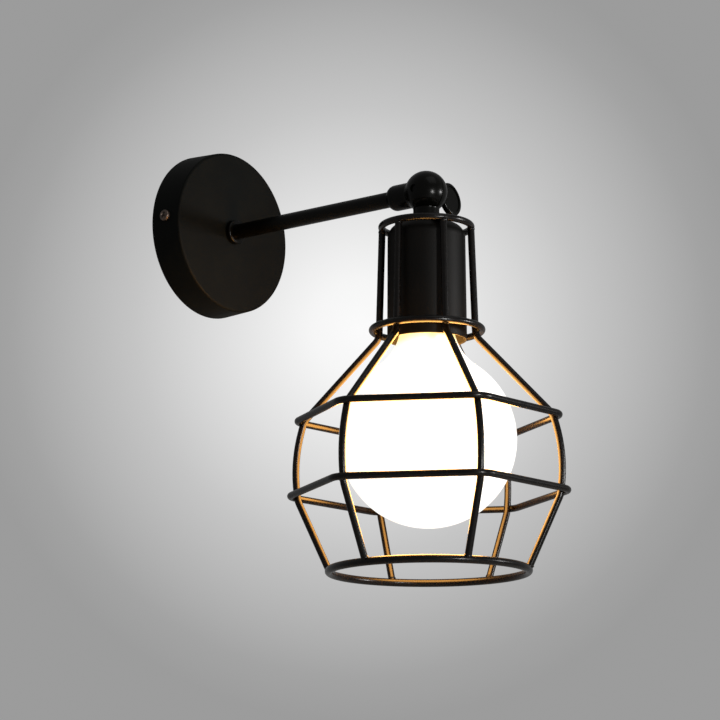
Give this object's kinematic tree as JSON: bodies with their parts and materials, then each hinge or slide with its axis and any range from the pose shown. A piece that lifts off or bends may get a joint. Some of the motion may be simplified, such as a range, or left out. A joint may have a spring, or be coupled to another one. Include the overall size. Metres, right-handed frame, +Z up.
{
  "type": "cage wall light",
  "caption": "Wall light with a round canopy, a thin straight arm, a ball knuckle with a clamp key, a lamp cup and a wire cage around an opal globe bulb.",
  "frame": {"origin": "on the wall plane, at the middle of the canopy and of the bracket's slots", "axes": "+X to the right as one faces the light, -Y straight out of the wall along the arm, +Z up"},
  "size_m": [0.1494, 0.2236, 0.2519],
  "materials": {
    "black_paint": "satin black paint",
    "zinc": "bright zinc plate",
    "black_oxide": "blackened steel",
    "brass": "bare brass",
    "nickel": "nickel plate",
    "opal_glass": "opal glass, lit from within",
    "white_plastic": "white plastic",
    "holder_black": "moulded black",
    "fibre": "pressed fibre",
    "lead_brown": "brown insulation",
    "lead_blue": "blue insulation",
    "lead_earth": "green and yellow insulation"
  },
  "bodies": {
    "wall_base": {"mounting_bracket": "zinc", "canopy": "black_paint", "side_screws": "black_oxide", "arm_collar": "black_paint", "arm_tube": "black_paint", "arm_lock_washer": "zinc", "arm_locknut": "zinc", "terminal_block": "white_plastic", "terminal_screws": "brass", "earth_screw": "brass", "arm_lead_live": "lead_brown", "arm_lead_neutral": "lead_blue", "earth_lead": "lead_earth", "knuckle_arm_half": "black_paint"},
    "head": {"knuckle_head_half": "black_paint", "friction_washer": "fibre", "neck_nipple": "zinc", "lamp_cup": "black_paint", "cup_locknut": "zinc", "cage_carrier": "black_paint", "lampholder_cap": "holder_black", "lampholder_body": "holder_black", "lampholder_screw_shell": "brass", "lampholder_contact": "brass", "head_lead_live": "lead_brown", "head_lead_neutral": "lead_blue", "cage_top_ring": "black_paint", "cage_collar_ring": "black_paint", "cage_upper_hexagon": "black_paint", "cage_lower_hexagon": "black_paint", "cage_bottom_ring": "black_paint", "cage_rib_1": "black_paint", "cage_rib_2": "black_paint", "cage_rib_3": "black_paint", "cage_rib_4": "black_paint", "cage_rib_5": "black_paint", "cage_rib_6": "black_paint"},
    "clamp_key": {"clamp_paddle": "black_paint", "clamp_stud": "black_oxide", "spring_washer": "black_oxide"},
    "bulb_end": {"bulb_insulator": "holder_black", "bulb_tip": "zinc"},
    "bulb": {"bulb_globe": "opal_glass", "bulb_collar": "white_plastic", "bulb_screw_cap": "nickel", "bulb_light_source": "white_plastic"}
  },
  "joints": [
    {"name": "head_tilt", "type": "hinge", "parent": "wall_base", "child": "head", "pos_m": [0, -0.157, 0], "axis": [-1, 0, 0], "range_deg": [-10, 180]},
    {"name": "clamp_key_turn", "type": "hinge", "parent": "wall_base", "child": "clamp_key", "pos_m": [0, -0.157, 0], "axis": [1, 0, 0], "range_deg": [-30, 360]},
    {"name": "bulb_advance", "type": "slide", "parent": "head", "child": "bulb_end", "axis": [0, 0, -1], "range_m": [0, 0.01835]},
    {"name": "bulb_turn", "type": "hinge", "parent": "bulb_end", "child": "bulb", "pos_m": [0, -0.157, -0.09], "axis": [0, 0, -1], "range_deg": [0, 1800]}
  ],
  "couplings": [
    {"joint": "bulb_advance", "follows": "bulb_turn", "m_per_rad": 0.00057773}
  ]
}
